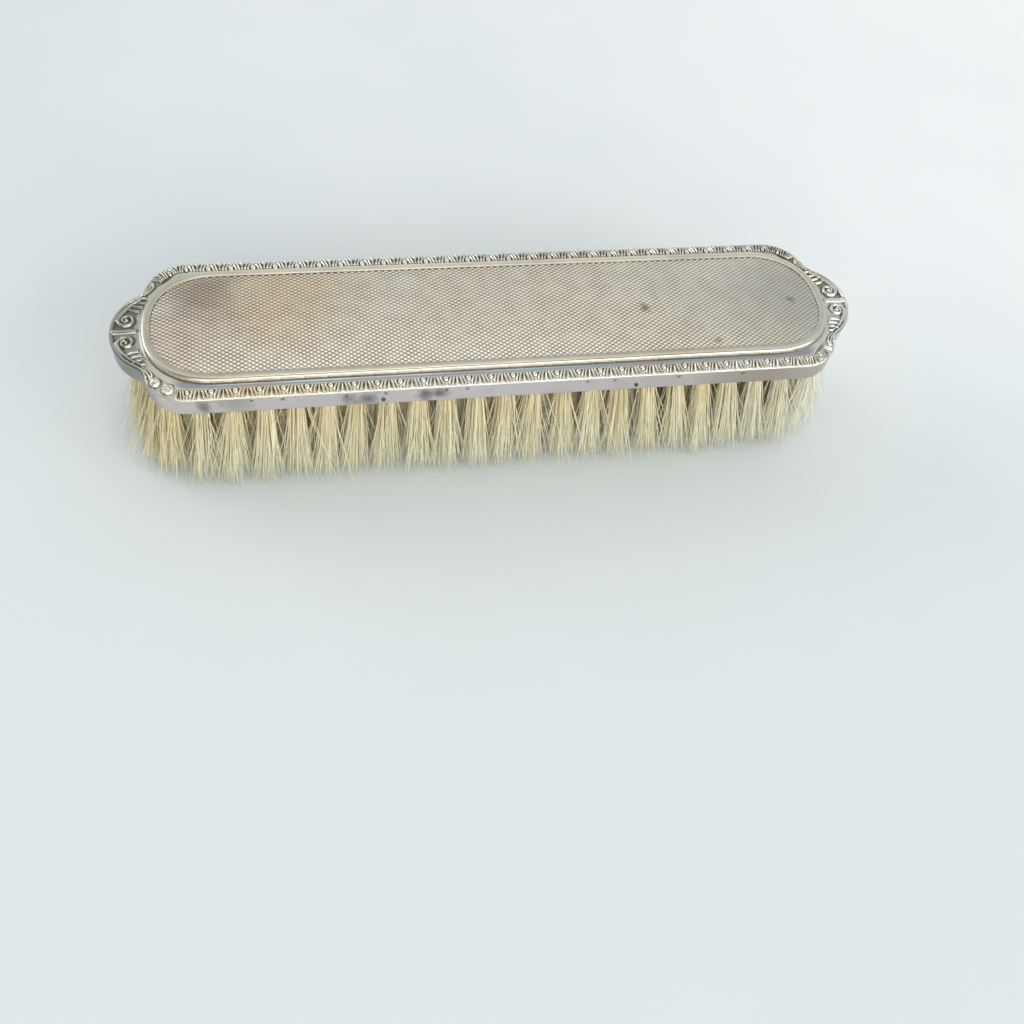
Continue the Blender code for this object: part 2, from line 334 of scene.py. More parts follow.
def egg_and_fan(along, depth):
    """Height share of the side ornament. along is measured on the outline, depth inwards from it."""
    from_middle = (along + EGG_PERIOD / 2) % EGG_PERIOD - EGG_PERIOD / 2
    side = np.abs(from_middle)
    stretch = EGG_HALF_WIDTH / EGG_HALF_LENGTH
    from_egg = np.hypot(from_middle, (depth - EGG_DEPTH) * stretch)
    cup = dome(from_egg - EGG_HALF_WIDTH - 0.24, 0.14) * (depth < EGG_DEPTH - 0.15)
    stem_path = ((0.0, FAN_FOOT), (0.0, FAN_FOOT + 0.6))
    dart_path = ((0.0, FAN_FOOT), (0.0, FAN_FOOT + 0.5), (0.0, FAN_TOP))
    parts = [
        1.12 * dome(from_egg, EGG_HALF_WIDTH),
        0.55 * cup,
        0.8 * ridge(side, depth, stem_path, (0.36, 0.2)),
        0.9 * ridge(EGG_PERIOD / 2 - side, depth, dart_path, (0.44, 0.26, 0.22)),
    ]
    for foot, top in FLUTES:
        parts.append(0.88 * ridge(side, depth, ((foot, FAN_FOOT), (top, FAN_TOP)), (0.2, 0.3)))
    return np.maximum.reduce(parts)


def rosette(x, y, centre, radius, petals):
    """A small flower: a round middle with petals round it."""
    dx, dy = x - centre[0], y - centre[1]
    off = np.hypot(dx, dy)
    turn = np.arctan2(dy, dx)
    middle = dome(off, 0.42 * radius)
    petal = 0.85 * dome(off - 0.62 * radius, 0.4 * radius) * (0.55 + 0.45 * np.abs(np.cos(turn * petals / 2)))
    return np.maximum(middle, petal)


def frond_path(points, normals, along, start, end, depths):
    """A path that follows the outline from one arc length to another at changing depths."""
    lengths = np.linspace(start, end, 30)
    depth = np.interp(lengths, np.linspace(start, end, len(depths)), depths)
    base = np.column_stack([np.interp(lengths, along, points[:, k]) for k in (0, 1)])
    inward = np.column_stack([np.interp(lengths, along, normals[:, k]) for k in (0, 1)])
    return base + inward * depth[:, None]


def from_end(points):
    """(x, y) of points given by their distance in from the end of the back, and y."""
    return [(HALF_LENGTH - x, y) for x, y in points]


def end_scrolls(x, y, points, normals, along):
    """Height share of the ornament of a lobe: volute, frond, rim, tie, lobes and the leaf at the neck."""
    end = along[-1]
    eye = np.array((HALF_LENGTH - 3.7, 3.3))
    turn = np.linspace(radians(-70), radians(350), 50)
    radius = np.linspace(0.72, 1.8, 50)
    coil = eye + np.column_stack((radius * np.cos(turn), radius * np.sin(turn)))
    frond = frond_path(points, normals, along, end - 3.8, end - 13.4, (1.8, 1.85, 1.75, 1.5, 1.2))
    rim = frond_path(points, normals, along, end, end - 16.0, (0.46, 0.46, 0.44, 0.38))
    parts = [
        dome(np.hypot(x - eye[0], y - eye[1]), 0.5),
        0.9 * ridge(x, y, coil, np.linspace(0.26, 0.54, 50)),
        0.75 * ridge(x, y, frond, np.linspace(0.56, 0.24, 30)),
        0.7 * ridge(x, y, rim, np.linspace(0.46, 0.32, 30)),
        0.7 * ridge(x, y, from_end(((5.4, 0), (0.9, 0))), (0.62, 0.84)),
        1.1 * dome(np.hypot(x - HALF_LENGTH + 1.1, y), 0.8),
    ]
    for inset, lobe_y, size in ((5.3, 5.9, 0.44), (6.0, 7.1, 0.46), (6.7, 8.3, 0.4)):
        bend = from_end(((inset - 1.6, lobe_y + 1.1), (inset - 0.5, lobe_y + 0.3), (inset + 0.9, lobe_y)))
        parts.append(0.62 * ridge(x, y, smooth_path(bend, 8), np.linspace(0.4, 1.0, 8) * size))
    for shift in (-0.36, 0.36):
        bend = ((7.0 - shift, 10.6), (8.3 - shift, 11.8), (9.0 - shift, 13.0), (9.2 - shift * 0.3, 14.2))
        parts.append(0.8 * ridge(x, y, smooth_path(from_end(bend)), np.linspace(0.22, 0.36, 24)))
    return np.maximum.reduce(parts)


def corner_studs(x, y):
    """Height share of the bud and the rosette that end the border at one corner, with the curl behind."""
    bud, flower = from_end(((10.0, HALF_WIDTH - 5.4), (12.6, HALF_WIDTH - 3.4)))
    curl = smooth_path(from_end(((7.3, 13.6), (7.9, 14.9), (8.6, 16.2), (9.9, 17.4))))
    parts = [
        1.6 * dome(np.hypot(x - bud[0], y - bud[1]), 1.25),
        1.25 * rosette(x, y, flower, 1.35, 5),
        0.6 * ridge(x, y, curl, 0.26),
    ]
    return np.maximum.reduce(parts)


def blurred(grid, rounds):
    """A grid averaged with its neighbours a number of times."""
    for _ in range(rounds):
        wide = np.pad(grid, 1, mode="edge")
        grid = (wide[:-2, 1:-1] + wide[2:, 1:-1] + wide[1:-1, :-2] + wide[1:-1, 2:] + 2 * grid) / 6
    return grid


def border_profile(depth, width, cove_width):
    """The plain height of the border: lip, band and cove, by distance in from the outline."""
    share = np.clip(1 - depth / (0.6 * LIP_WIDTH), 0, 1)
    lip = LIP_Z - LIP_ROUND * (1 - np.sqrt(1 - share**2))
    fall = np.clip((depth - 0.6 * LIP_WIDTH) / (0.4 * LIP_WIDTH), 0, 1)
    lip = lip - (LIP_Z - BAND_FOOT_Z) * fall**2
    rise = np.clip((depth - LIP_WIDTH) / (width - LIP_WIDTH - cove_width), 0, 1)
    band = np.where(depth > LIP_WIDTH, 0.2 * np.sin(rise * pi / 2), 0)
    cove = np.clip(1 - (width - depth) / cove_width, 0, 1)
    return lip + band + COVE_HEIGHT * cove**2


def ornament(x, y, depth, outline, side_end, band_end, studded):
    """Height of the ornament above the plain border, in millimetres."""
    points, normals, along = outline
    sides = egg_and_fan(np.broadcast_to(along[:, None], x.shape), depth)
    sides = sides * (along[:, None] < side_end) * (depth < band_end + 0.1)
    at_end = along > CORNER_CENTRE[0]
    ends = np.zeros_like(sides)
    ends[at_end] = end_scrolls(x[at_end], y[at_end], points, normals, along)
    if studded:
        ends[at_end] = np.maximum(ends[at_end], corner_studs(x[at_end], y[at_end]))
    foot = np.clip((depth - 0.3) / 0.9, 0, 1)
    sides = sides * (0.34 + 0.66 * foot * (2 - foot)) * (depth > 0.14)
    return blurred(np.maximum(sides * SIDE_RELIEF, ends * END_RELIEF * (depth > 0.16)), 1)


def border_patina_and_shade(relief, depth, width, along, side_end, band_end):
    """Patina and painted shade from 0 to 1: patina in the recesses and on the band's ground, and darker lines
    beside the frame and on the lip's edge.
    """
    recess = np.where(along > CORNER_CENTRE[0], 0.15, 0.22)[:, None]
    in_band = (depth > LIP_WIDTH + 0.1) & (depth < band_end)
    ground = np.clip(1 - relief / (0.3 * SIDE_RELIEF), 0, 1) * in_band
    parts = [
        np.clip((blurred(relief, 16) - relief) / recess, 0, 1),
        ground * np.where(along < side_end, 0.62, 0.42)[:, None],
        0.6 * np.exp(-(((width - depth) / 0.12) ** 2)),
        0.42 * (depth < 0.11),
    ]
    return np.maximum.reduce(parts)


def border_sections(studded):
    """Sections of a quarter of the border, with their patina and cove, with or without corner studs."""
    outline = outline_quarter(SIDE_STEP, END_STEP)
    points, normals, along = outline
    count = len(points)
    width = depth_to_frame(points, normals, -0.1)
    lip_rows = np.tile(np.linspace(0, 1, LIP_ROWS) * LIP_WIDTH, (count, 1))
    inner_rows = np.outer(width - LIP_WIDTH, np.linspace(0, 1, BORDER_ROWS + 1)[1:])
    depth = np.hstack((lip_rows, LIP_WIDTH + inner_rows))
    xy = points[:, None, :] + normals[:, None, :] * depth[:, :, None]
    turned = np.clip((along - CORNER_CENTRE[0] - 2.0) / 7, 0, 1)
    turned = turned**2 * (3 - 2 * turned)
    cove_width = (width - BAND_WIDTH) * (1 - turned) + END_COVE_WIDTH * turned
    width, cove_width = width[:, None], cove_width[:, None]
    side_end = (EGGS_TO_STUDS if studded else EGGS_TO_LEAF) * EGG_PERIOD
    band_end = width - cove_width
    relief = ornament(xy[..., 0], xy[..., 1], depth, outline, side_end, band_end, studded)
    z = border_profile(depth, width, cove_width) + relief
    patina = border_patina_and_shade(relief, depth, width, along, side_end, band_end)
    # Where the cove shows a painted reflection of the floor, fading round the ends.
    cove = np.clip(2.5 - 2.5 * (width - depth) / cove_width, 0, 1) * (1 - 0.8 * turned[:, None])
    inner_foot = points + normals * (width + 0.25)
    outer_foot = points + normals * 0.1
    feet = ((inner_foot, LIP_Z + 0.5), (inner_foot, ROOF_Z - 0.1), (outer_foot, ROOF_Z - 0.1))
    under = np.stack([np.column_stack((foot, np.full(count, foot_z))) for foot, foot_z in feet], axis=1)
    sections = np.concatenate((np.dstack((xy, z)), under), axis=1)
    patina = np.hstack((patina, np.full((count, 3), 0.5)))
    cove = np.hstack((cove, np.zeros((count, 3))))
    return sections, patina, cove


def relief_border(look):
    """The relief between the skirt and the frame. Only the front left corner has studs.

    The rear has darker recesses, patina with painted shade added, and less of the cove's painted floor
    reflection than the front.
    """
    plain = border_sections(False)
    studded = border_sections(True)
    flips = ((-1, -1), (1, 1), (1, 1))
    rings = [whole_ring(values, flip) for values, flip in zip(plain, flips)]
    corner = slice(2 * len(plain[0]) - 2, 3 * len(plain[0]) - 2)
    for ring, values, flip in zip(rings, studded, flips):
        ring[corner] = whole_ring(values, flip)[corner]
    ring, patina, cove = rings
    # At the rear, painted shade deepens the recesses and the cove's painted floor reflection fades.
    rear = ring[..., 1] > 0
    patina = np.clip(patina * np.where(rear, REAR_PATINA_AND_SHADE, 1), 0, 1)
    cove = cove * np.where(rear, REAR_COVE_REFLECTION, 1)
    stations, rows, _ = ring.shape
    values = {"patina": patina, "cove": cove}
    faces = tube_faces(stations, rows)
    points = ring.reshape(-1, 3)
    return add_piece("relief_border", points, faces, look, ("silver_back",), 50, values)


def frame_moulding(look):
    """The raised frame with its rounded edge and the fine groove inside it. Rows are inset, z, patina and
    painted shade.
    """
    middle = (FRAME_ROUND + FRAME_FLAT) / 2
    # The foot of the wall is darker, and the rounded edge carries no patina while the flat carries a little,
    # which paints a highlight along the edge.
    profile = [
        (-0.1, LIP_Z + 0.1, 0.8),
        (-0.1, LIP_Z + COVE_HEIGHT + 0.1, 0.6),
        (-0.06, FRAME_TOP_Z - FRAME_ROUND - 0.1, 0.3),
    ]
    for turn in np.linspace(0, pi / 2, 7):
        drop = FRAME_ROUND * (1 - sin(turn))
        profile.append((FRAME_ROUND * (1 - cos(turn)), FRAME_TOP_Z - drop, 0.0))
    profile += [
        ((FRAME_ROUND + middle) / 2, FRAME_TOP_Z + 0.05, 0.3),
        (middle, FRAME_TOP_Z + 0.07, 0.32),
        ((middle + FRAME_FLAT) / 2, FRAME_TOP_Z + 0.05, 0.32),
        (FRAME_FLAT - 0.12, FRAME_TOP_Z, 0.2),
        (FRAME_FLAT, FRAME_TOP_Z - 0.05, 0.4),
        (FRAME_FLAT + 0.06, FRAME_TOP_Z - 0.2, 1.0),
        (FRAME_FLAT + 0.06, PLATE_FLOOR_Z, 1.0),
        (FRAME_ROUND, PLATE_FLOOR_Z, 1.0),
        (FRAME_ROUND, LIP_Z + 0.3, 1.0),
    ]
    sections = []
    for inset, z, _ in profile:
        loop = frame_quarter(inset, 90)
        sections.append(np.column_stack((loop, np.full(len(loop), z))))
    sections = np.stack(sections, axis=1)
    patina = np.tile([row[2] for row in profile], (len(sections), 1))
    sections[..., 2] += ripple(sections, 22.0, 0.02, 3) * (patina < 0.5)
    return add_ring("frame_moulding", sections, look, ("silver_back",), 50, {"patina": patina})


def skirt_wall(look):
    """The upright rim of the back, with a softly rolled lower edge, open below."""
    points, normals, _ = outline_quarter(0.8, 0.3)
    roll = 0.2
    top = ROOF_Z + 0.06
    heights = np.linspace(top, SKIRT_BOTTOM_Z + roll, 9)
    profile = [(0.06, z, 0.0) for z in heights]
    profile += [
        (0.06 + roll * (1 - cos(turn)), SKIRT_BOTTOM_Z + roll * (1 - sin(turn)), 0.3)
        for turn in (pi / 6, pi / 3, pi / 2)
    ]
    profile.append((SHEET, SKIRT_BOTTOM_Z, 0.6))
    profile.append((SHEET, top, 0.8))
    depth = np.array([row[0] for row in profile])
    z = np.array([row[1] for row in profile])
    xy = points[:, None, :] + normals[:, None, :] * depth[None, :, None]
    sections = np.dstack((xy, np.broadcast_to(z, (len(points), len(z)))))
    dents = 0.05 + ripple(sections, 16.0, 0.03, 5)
    sections[:, 1:-2, :2] += (normals[:, None, :] * dents[:, :, None])[:, 1:-2]
    patina = np.tile([row[2] for row in profile], (len(points), 1))
    return add_ring("skirt_wall", sections, look, ("silver_back",), 50, {"patina": patina})


# ---- Engine-turned field ----


def field_height(x, y):
    """The crowned surface that the grains stand on: highest along the middle."""
    reach = np.minimum(frame_norm(x, y, FRAME_FLAT), 1.1)
    return FIELD_EDGE_Z - GRAIN_HEIGHT + (FIELD_CROWN_Z - FIELD_EDGE_Z) * (1 - reach**2)


def engraved_field(look):
    """Rows of lozenge grains, each a small pillow between cut grooves, as one closed plate."""
    across = np.array((GRAIN_LENGTH / 2, GRAIN_WIDTH / 2))
    down = np.array((GRAIN_LENGTH / 2, -GRAIN_WIDTH / 2))
    span = int(2 * HALF_LENGTH / GRAIN_LENGTH)
    m, n = np.meshgrid(np.arange(-span, span), np.arange(-span, span), indexing="ij")
    centre = (m[..., None] + 0.5) * across + (n[..., None] + 0.5) * down
    kept = frame_norm(centre[..., 0], centre[..., 1], FRAME_FLAT - 0.45) < 1
    kept &= np.abs(centre[..., 0]) < HALF_LENGTH
    m, n = m[kept] + span, n[kept] + span
    wide = 2 * span * GRAIN_CUTS + 1
    i, j = np.meshgrid(np.arange(GRAIN_CUTS), np.arange(GRAIN_CUTS), indexing="ij")
    low = ((m[:, None] * GRAIN_CUTS + i.ravel()) * wide + n[:, None] * GRAIN_CUTS + j.ravel()).ravel()
    quads = np.column_stack((low, low + 1, low + wide + 1, low + wide))
    used, index = np.unique(quads, return_inverse=True)
    faces = index.reshape(-1, 4)[:, ::-1].tolist()
    a, b = used // wide, used % wide
    xy = (a / GRAIN_CUTS - span)[:, None] * across + (b / GRAIN_CUTS - span)[:, None] * down
    share_a = np.abs(2 * (a % GRAIN_CUTS) / GRAIN_CUTS - 1)
    share_b = np.abs(2 * (b % GRAIN_CUTS) / GRAIN_CUTS - 1)
    pillow = (1 - share_a**2) * (1 - share_b**2)
    z = field_height(xy[:, 0], xy[:, 1]) + GRAIN_HEIGHT * pillow
    z += ripple(np.column_stack((xy, z)), 30.0, 0.015, 8)
    points = np.column_stack((xy, z))
    points, faces = closed_below(points, faces, m, n, wide, used)
    patina = np.zeros(len(points))
    patina[: len(used)] = 1 - pillow**0.5
    patina[len(used) :] = 1
    values = {"patina": patina}
    return add_piece("engraved_field", points, faces, look, ("silver_back",), 38, values)


def closed_below(points, faces, m, n, wide, used):
    """Adds the underside of the engraved plate: a quad below each grain and a wall at the open edges."""
    number = {int(key): k for k, key in enumerate(used)}
    cells = set(zip(m.tolist(), n.tolist()))
    lower = {}
    extra = []

    def below(a, b):
        if (a, b) not in lower:
            top = points[number[a * GRAIN_CUTS * wide + b * GRAIN_CUTS]]
            lower[a, b] = len(points) + len(extra)
            extra.append((top[0], top[1], PLATE_FLOOR_Z))
        return lower[a, b]

    corners = ((0, 0), (0, 1), (1, 1), (1, 0))
    neighbours = ((-1, 0), (0, 1), (1, 0), (0, -1))
    for a, b in sorted(cells):
        ring = [(a + da, b + db) for da, db in corners]
        faces.append([below(*corner) for corner in ring])
        for k, (da, db) in enumerate(neighbours):
            if (a + da, b + db) in cells:
                continue
            start, end = ring[k], ring[(k + 1) % 4]
            keys = [
                (start[0] * (GRAIN_CUTS - s) + end[0] * s) * wide + start[1] * (GRAIN_CUTS - s) + end[1] * s
                for s in range(GRAIN_CUTS + 1)
            ]
            faces.append([number[key] for key in keys] + [below(*end), below(*start)])
    return np.vstack((points, extra)), faces


# ---- Sprigs and bristles ----


def sprig(name, look):
    """A small round pin with a domed head, filed nearly flush with the skirt."""
    low, high = cad_box(name)
    centre = (low + high) / 2
    size = high - low
    outwards = Vector((0, 0, 0))
    axis = 0 if size.x > size.y else 1
    outwards[axis] = 1 if centre[axis] > 0 else -1
    radius = size.z / 2
    length = size[axis]
    profile = [(0.0, 0.0)]
    profile += [(radius * sin(t), -0.2 * radius * (1 - cos(t))) for t in np.linspace(0.2, pi / 2, 6)]
    profile += [(radius * 0.98, -0.4 * radius), (radius * 0.6, -length), (0.0, -length)]
    sides = 24
    head = centre + outwards * length / 2
    turn = outwards.to_track_quat("Z", "Y").to_matrix()
    points = []
    for r, z in profile:
        for k in range(sides):
            angle = 2 * pi * k / sides
            points.append(tuple(head + turn @ Vector((r * cos(angle), r * sin(angle), z))))
    faces = []
    for row in range(len(profile) - 1):
        for k in range(sides):
            a, b = row * sides + k, row * sides + (k + 1) % sides
            if profile[row][0] == 0:
                faces.append((a, a + sides, b + sides))
            elif profile[row + 1][0] == 0:
                faces.append((a, a + sides, b))
            else:
                faces.append((a, a + sides, b + sides, b))
    return add_piece(f"{name}_pin", points, faces, look, (name,), 40)


def hair_mesh(axes, radii, turns):
    """Points and faces of thin tubes. axes is (hair, ring, xyz), radii (hair, ring), turns (hair,)."""
    hairs, rings, _ = axes.shape
    angle = turns[:, None] + 2 * pi * np.arange(HAIR_SIDES) / HAIR_SIDES
    ray = np.stack((np.cos(angle), np.sin(angle), np.zeros_like(angle)), -1)
    points = axes[:, :, None, :] + radii[:, :, None, None] * ray[:, None, :, :]
    first = (np.arange(hairs) * rings * HAIR_SIDES)[:, None, None]
    ring = (np.arange(rings - 1) * HAIR_SIDES)[None, :, None]
    side = np.arange(HAIR_SIDES)[None, None, :]
    here = first + ring + side
    beside = first + ring + (side + 1) % HAIR_SIDES
    quads = np.stack((here, here + HAIR_SIDES, beside + HAIR_SIDES, beside), -1).reshape(-1, 4)
    starts = np.arange(hairs)[:, None] * rings * HAIR_SIDES + np.arange(HAIR_SIDES)
    ends = starts + (rings - 1) * HAIR_SIDES
    faces = quads.tolist() + starts.tolist() + ends[:, ::-1].tolist()
    return points.reshape(-1, 3), faces


def tuft_axes(rng, root, tip, count):
    """Axes of one tuft's hairs: tied tightly at the root, fanning out and crossing below."""
    angle = rng.uniform(0, 2 * pi, count)
    radius = np.sqrt(rng.uniform(0, 1, count))
    spread = np.column_stack((np.cos(angle), np.sin(angle))) * radius[:, None]
    root_off = spread * (TUFT_ROOT_RADIUS - 0.1)
    fan = np.array(TUFT_TIP_RADIUS) * (0.98, 0.9)
    tip_off = spread * fan * rng.uniform(0.6, 1.15, (count, 1)) + rng.normal(0, 0.55, (count, 2))
    wild = rng.uniform(size=count) < WILD_SHARE
    tip_off[wild] += rng.normal(0, 1.0, (wild.sum(), 2)) * WILD_SPREAD
    tip_z = np.abs(rng.normal(0, 1.1, count))
    short = rng.uniform(size=count) < SHORT_SHARE
    tip_z[short] += rng.uniform(0.5, 6.0, short.sum())
    t = np.linspace(0, 1, HAIR_SEGMENTS + 1)[None, :, None]
    ease = t ** np.where(wild, 1.3, 2.0)[:, None, None]
    centre = np.array(root) * (1 - t) + np.array(tip) * t
    bow = rng.normal(0, 0.35, (count, 1, 2)) * np.sin(pi * t)
    xy = centre + root_off[:, None] * (1 - ease) + tip_off[:, None] * ease + bow
    root_z = BOARD_BOTTOM_Z + 1.2
    z = root_z + (tip_z[:, None] - root_z) * t[..., 0]
    return np.dstack((xy, z))


def tuft_row(row, look):
    """One row of tufts as strands, in the place of its plain solid."""
    node = f"tuft_row_{row + 1}"
    low, high = cad_box(node)
    from_edge = min(row, ROWS - 1 - row)
    count = EDGE_ROW_TUFTS + from_edge
    tip_y = (low.y + high.y) / 2
    tip_reach = high.x - TUFT_TIP_RADIUS[0]
    rng = np.random.default_rng(100 + row)
    axes = []
    for tip_x in np.linspace(-tip_reach, tip_reach, count):
        tip = np.array((tip_x + TIP_SHIFT, tip_y)) + rng.normal(0, 0.7, 2) * (1, 0.5)
        if not from_edge:
            lean = EDGE_LEAN - CORNER_DRAW * np.exp(-(tip_reach - abs(tip_x)) / CORNER_FADE)
            tip += lean * np.sign((0.0, tip_y)) + (0.5 * (lean - EDGE_LEAN) * np.sign(tip_x), 0.0)
        root = (tip_x / SPLAY[0] + ROOT_SHIFT + rng.normal(0, 0.15), tip_y / SPLAY[1])
        at_end = abs(tip_x) == tip_reach
        axes.append(tuft_axes(rng, root, tip, HAIRS[0 if at_end else from_edge]))
    axes = np.concatenate(axes)
    thick = HAIR_RADIUS * rng.uniform(0.75, 1.2, len(axes))
    taper = np.interp(np.linspace(0, 1, HAIR_SEGMENTS + 1), (0, 0.5, 0.86, 1), (1, 0.9, 0.55, 0.2))
    points, faces = hair_mesh(axes, thick[:, None] * taper, rng.uniform(0, 2 * pi, len(axes)))
    down = np.repeat(1 - axes[..., 2].ravel() / BOARD_BOTTOM_Z, HAIR_SIDES)
    tint = np.repeat(rng.uniform(0, 1, len(axes)), (HAIR_SEGMENTS + 1) * HAIR_SIDES)
    values = {"down": down, "tint": tint}
    return add_piece(f"bristle_row_{row + 1}", points, faces, look, (node,), None, values)


def stray_hairs(look):
    """A few loose dark curly hairs caught among the tips."""
    rng = np.random.default_rng(77)
    reach = cad_box("tuft_row_1")[1].x - 8
    axes = []
    for _ in range(STRAYS):
        start_x = rng.uniform(-reach, reach)
        start_y = rng.choice((-1, 1)) * rng.uniform(14, 20)
        start = np.array((start_x, start_y, rng.uniform(1, 7)))
        heading = rng.uniform(0, 2 * pi)
        turn = rng.normal(0, 0.55)
        axis = [start]
        for _ in range(HAIR_SEGMENTS):
            heading += turn
            move = np.array((cos(heading), 0.35 * sin(heading), 0.5 * sin(heading))) * rng.uniform(0.7, 1.2)
            axis.append(axis[-1] + move)
        axes.append(axis)
    axes = np.array(axes)
    axes[..., 2] = np.maximum(axes[..., 2], 0.2)
    radii = np.full(axes.shape[:2], STRAY_RADIUS)
    points, faces = hair_mesh(axes, radii, np.zeros(len(axes)))
    return add_piece("stray_hairs", points, faces, look)


# ---- Materials ----


def srgb(red, green, blue):
    """The linear colour, with alpha, of an sRGB colour given from 0 to 255."""
    shares = [channel / 255 for channel in (red, green, blue)]
    return (*[s / 12.92 if s <= 0.04 else ((s + 0.055) / 1.055) ** 2.4 for s in shares], 1.0)


class Look:
    """A material's node tree, with a short call for each kind of node."""

    def __init__(self, name, **fixed):
        self.material = bpy.data.materials.new(name)
        self.material.use_nodes = True
        self.nodes = self.material.node_tree.nodes
        self.shader = self.nodes["Principled BSDF"]
        for socket, value in fixed.items():
            self.shader.inputs[socket.replace("_", " ")].default_value = value
        self.place = self.nodes.new("ShaderNodeTexCoord").outputs["Object"]

    def link(self, source, target):
        self.material.node_tree.links.new(source, target)

    def drive(self, socket, source):
        self.link(source, self.shader.inputs[socket])

    def feed(self, node, index, value):
        """Sets an input to a number or colour, or links a socket to it."""
        if isinstance(value, bpy.types.NodeSocket):
            self.link(value, node.inputs[index])
        else:
            node.inputs[index].default_value = value

    def scaled(self, scale):
        """Object coordinates multiplied by a scale for each axis."""
        node = self.nodes.new("ShaderNodeMapping")
        node.inputs["Scale"].default_value = scale
        self.link(self.place, node.inputs["Vector"])
        return node.outputs["Vector"]

    def noise(self, scale, detail=3.0, rough=0.5, twist=0.0, at=None):
        node = self.nodes.new("ShaderNodeTexNoise")
        self.link(at or self.place, node.inputs["Vector"])
        node.inputs["Scale"].default_value = scale
        node.inputs["Detail"].default_value = detail
        node.inputs["Roughness"].default_value = rough
        node.inputs["Distortion"].default_value = twist
        return node.outputs["Fac"]

    def value(self, attribute):
        node = self.nodes.new("ShaderNodeAttribute")
        node.attribute_name = attribute
        return node.outputs["Fac"]

    def between(self, source, low, high, out_low=0.0, out_high=1.0):
        """Maps low to high onto out_low to out_high, clamped."""
        node = self.nodes.new("ShaderNodeMapRange")
        node.interpolation_type = "SMOOTHSTEP"
        for index, number in ((1, low), (2, high), (3, out_low), (4, out_high)):
            node.inputs[index].default_value = number
        self.feed(node, 0, source)
        return node.outputs[0]

    def math(self, operation, first, second):
        node = self.nodes.new("ShaderNodeMath")
        node.operation = operation
        self.feed(node, 0, first)
        self.feed(node, 1, second)
        return node.outputs[0]

    def mix(self, share, first, second):
        node = self.nodes.new("ShaderNodeMix")
        node.data_type = "RGBA"
        self.feed(node, 0, share)
        self.feed(node, 6, first)
        self.feed(node, 7, second)
        return node.outputs[2]

    def near(self, centre, radius):
        """1 at a point given in millimetres, falling to 0 at about the radius, with a ragged edge."""
        node = self.nodes.new("ShaderNodeVectorMath")
        node.operation = "DISTANCE"
        self.link(self.place, node.inputs[0])
        node.inputs[1].default_value = [c * MM for c in centre]
        ragged = self.between(self.noise(1.2 / (radius * MM), 4.0, 0.6), 0.25, 0.75, 0.6, 1.6)
        return self.between(self.math("MULTIPLY", node.outputs["Value"], ragged), radius * MM, 0.0)

    def bump(self, height, strength, distance):
        node = self.nodes.new("ShaderNodeBump")
        node.inputs["Strength"].default_value = strength
        node.inputs["Distance"].default_value = distance * MM
        self.link(height, node.inputs["Height"])
        self.drive("Normal", node.outputs["Normal"])


def silver_look(name, bright, tarnish, patina, rough, reach, clouding=0.12, blooms=(), cove_reflections=None, stains=()):
    """Worn sterling silver: warm tarnish in patches, patina in the recesses with painted shade added, specks
    and fine scratches.

    reach is how high the patina and shade value must be to turn wholly to the patina colour. Each bloom is a
    tinted patch, given by its centre and radius in millimetres, its colour and its strength. cove_reflections
    are the two colours of the cove's painted floor reflection.
    stains are patches where the patina has another colour, each with a centre, radius and colour.
    """
    look = Look(name, Metallic=1.0)
    patches = look.between(look.noise(24.0, 3.0, 0.5), 0.35, 0.7)
    metal = look.mix(look.math("MULTIPLY", patches, 0.7), bright, tarnish)
    clouds = look.between(look.noise(420.0, 5.0, 0.65), 0.56, 0.8, 0.0, clouding)
    metal = look.mix(clouds, metal, srgb(150, 138, 120))
    for centre, radius, colour, strength in blooms:
        metal = look.mix(look.math("MULTIPLY", look.near(centre, radius), strength), metal, colour)
    # The cove value lays a painted floor reflection, in two blue-grey colours, over the metal.
    if cove_reflections:
        tint = look.mix(look.between(look.noise(55.0, 3.0, 0.6), 0.4, 0.62), *cove_reflections)
        metal = look.mix(look.value("cove"), metal, tint)
    specks = look.between(look.noise(1500.0, 2.0, 0.4), 0.75, 0.8, 0.0, 0.6)
    metal = look.mix(specks, metal, srgb(74, 64, 56))
    uneven = look.between(look.noise(260.0, 3.0), 0.3, 0.7, 0.9, 1.08)
    # The patina and shade value darkens the metal towards the patina colour: patina in hollows, painted shade
    # elsewhere.
    recess = look.math("MULTIPLY", look.value("patina"), uneven)
    dark = look.between(recess, 0.1, reach)
    for centre, radius, colour in stains:
        patina = look.mix(look.near(centre, radius), patina, colour)
    look.drive("Base Color", look.mix(dark, metal, patina))
    grain = look.noise(900.0, 2.0, 0.5, 0.0, look.scaled((1.0, 4.0, 1.0)))
    sheen = look.between(look.noise(60.0, 4.0, 0.6), 0.35, 0.7, rough * 0.75, rough * 1.35)
    sheen = look.math("ADD", sheen, look.between(dark, 0.0, 1.0, 0.0, 0.25))
    look.drive("Roughness", sheen)
    look.bump(grain, 0.12, 0.02)
    return look.material


